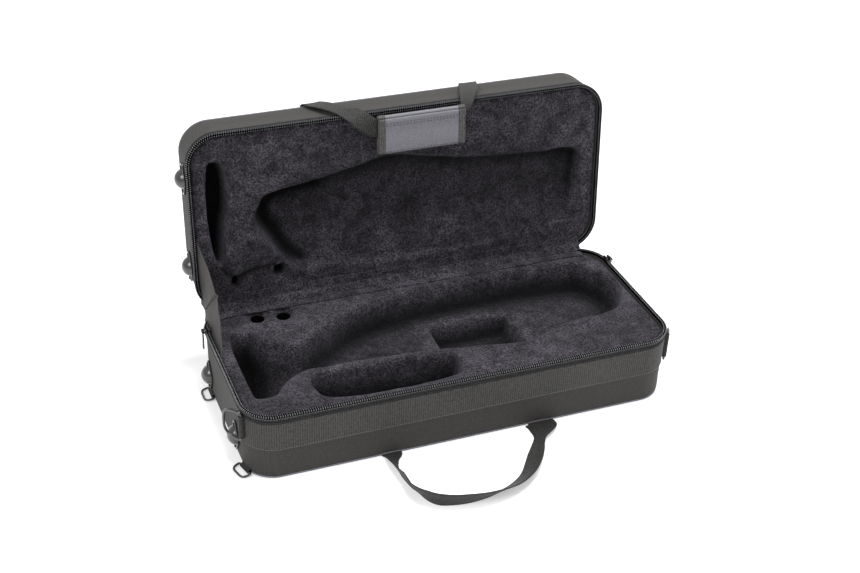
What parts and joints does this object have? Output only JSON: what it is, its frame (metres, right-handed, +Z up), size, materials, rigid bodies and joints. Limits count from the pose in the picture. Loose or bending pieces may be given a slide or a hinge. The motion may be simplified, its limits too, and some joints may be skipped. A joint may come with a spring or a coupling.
{
  "type": "trumpet case",
  "caption": "Soft zip-up trumpet case, open, with a moulded plush bed, hinged lid on a cloth stay, webbing handles, padded grip, D-rings and domed feet.",
  "frame": {"origin": "middle of the base's flat underside", "axes": "+X along the case to the right, +Y from the front to the hinge, +Z up; stored open, the lid resting on its stop"},
  "size_m": [0.6097, 0.4548, 0.3495],
  "materials": {
    "shell_fabric": "matt woven nylon",
    "plush": "short-pile plush",
    "ribbed_band": "ribbed webbing",
    "zip_tape": "woven tape",
    "zip_coil": "moulded nylon coil",
    "zip_metal": "black enamel",
    "piping": "woven binding over cord",
    "webbing": "woven webbing",
    "grip_cloth": "padded nylon",
    "ring_metal": "black enamel, satin",
    "foot_rubber": "smooth, semi-gloss",
    "screw_metal": "black, satin",
    "sleeve_plastic": "glossy black",
    "stay_cloth": "woven webbing"
  },
  "bodies": {
    "base": {"base_shell": "shell_fabric", "base_bed": "plush", "base_side_band": "ribbed_band", "base_zip_tape": "zip_tape", "base_zip_coil": "zip_coil", "base_piping": "piping", "mouthpiece_sleeve_left": "sleeve_plastic", "mouthpiece_sleeve_right": "sleeve_plastic", "shoulder_tab_left": "webbing", "shoulder_tab_right": "webbing", "backpack_tab_front": "webbing", "backpack_tab_back": "webbing", "base_foot_front": "foot_rubber", "base_foot_back": "foot_rubber", "base_foot_screws": "screw_metal", "base_handle_patches": "webbing", "hinge_cover": "shell_fabric", "hinge_lining": "plush", "lid_stay": "stay_cloth"},
    "lid": {"lid_shell": "shell_fabric", "lid_pad": "plush", "lid_zip_tape": "zip_tape", "lid_zip_coil": "zip_coil", "lid_piping": "piping", "lid_foot_upper": "foot_rubber", "lid_foot_lower": "foot_rubber", "lid_foot_screws": "screw_metal", "lid_handle_patches": "webbing"},
    "lid_handle": {"lid_handle": "webbing", "grip_wrap": "grip_cloth"},
    "grip_flap": {"grip_flap": "grip_cloth"},
    "base_handle": {"base_handle": "webbing"},
    "shoulder_ring_left": {"shoulder_ring_left": "ring_metal"},
    "shoulder_ring_right": {"shoulder_ring_right": "ring_metal"},
    "backpack_ring_front": {"backpack_ring_front": "ring_metal"},
    "backpack_ring_back": {"backpack_ring_back": "ring_metal"},
    "zip_slider_left": {"zip_slider_left": "zip_metal"},
    "zip_slider_right": {"zip_slider_right": "zip_metal"},
    "zip_pull_left": {"zip_pull_left": "zip_metal"},
    "zip_pull_right": {"zip_pull_right": "zip_metal"}
  },
  "joints": [
    {"name": "lid_hinge", "type": "hinge", "parent": "base", "child": "lid", "pos_m": [0, 0.1215, 0.0972], "axis": [-1, 0, 0], "range_deg": [-94.2, 0], "deforming": ["hinge_cover", "hinge_lining", "lid_stay"]},
    {"name": "lid_handle_swing", "type": "hinge", "parent": "lid", "child": "lid_handle", "pos_m": [0, 0.20141, 0.32646], "axis": [-1, 0, 0], "range_deg": [0, 103.62]},
    {"name": "grip_flap_hinge", "type": "hinge", "parent": "lid_handle", "child": "grip_flap", "pos_m": [0, 0.12392, 0.33977], "axis": [-1, 0, 0], "range_deg": [0, 100]},
    {"name": "base_handle_swing", "type": "hinge", "parent": "base", "child": "base_handle", "pos_m": [0, -0.122, 0.0012], "axis": [-1, 0, 0], "range_deg": [0, 55]},
    {"name": "shoulder_ring_left_swing", "type": "hinge", "parent": "base", "child": "shoulder_ring_left", "pos_m": [-0.28722, -0.09535, 0.07], "axis": [0, 0, 1], "range_deg": [-30, 110]},
    {"name": "shoulder_ring_right_swing", "type": "hinge", "parent": "base", "child": "shoulder_ring_right", "pos_m": [0.28674, -0.09601, 0.06538], "axis": [-0.201, -0.2767, -0.9397], "range_deg": [-14, 110]},
    {"name": "backpack_ring_back_swing", "type": "hinge", "parent": "base", "child": "backpack_ring_back", "pos_m": [-0.2856, 0.072, 0.0036], "axis": [0, 1, 0], "range_deg": [0, 50]},
    {"name": "backpack_ring_front_swing", "type": "hinge", "parent": "base", "child": "backpack_ring_front", "pos_m": [-0.28401, -0.09233, 0.0036], "axis": [-0.2756, 0.9613, 0], "range_deg": [0, 90]},
    {"name": "zip_slider_left_slide", "type": "slide", "parent": "base", "child": "zip_slider_left", "axis": [0, -1, 0], "range_m": [0, 0.13]},
    {"name": "zip_pull_left_swing", "type": "hinge", "parent": "zip_slider_left", "child": "zip_pull_left", "pos_m": [-0.2908, 0.079, 0.0972], "axis": [0, 1, 0], "range_deg": [0, 150]},
    {"name": "zip_slider_right_slide", "type": "slide", "parent": "base", "child": "zip_slider_right", "axis": [0, -1, 0], "range_m": [0, 0.13]},
    {"name": "zip_pull_right_swing", "type": "hinge", "parent": "zip_slider_right", "child": "zip_pull_right", "pos_m": [0.2908, 0.079, 0.0972], "axis": [0, -1, 0], "range_deg": [0, 150]}
  ],
  "couplings": [
    {"joint": "lid_handle_swing", "follows": "lid_hinge", "ratio": -1.1}
  ]
}
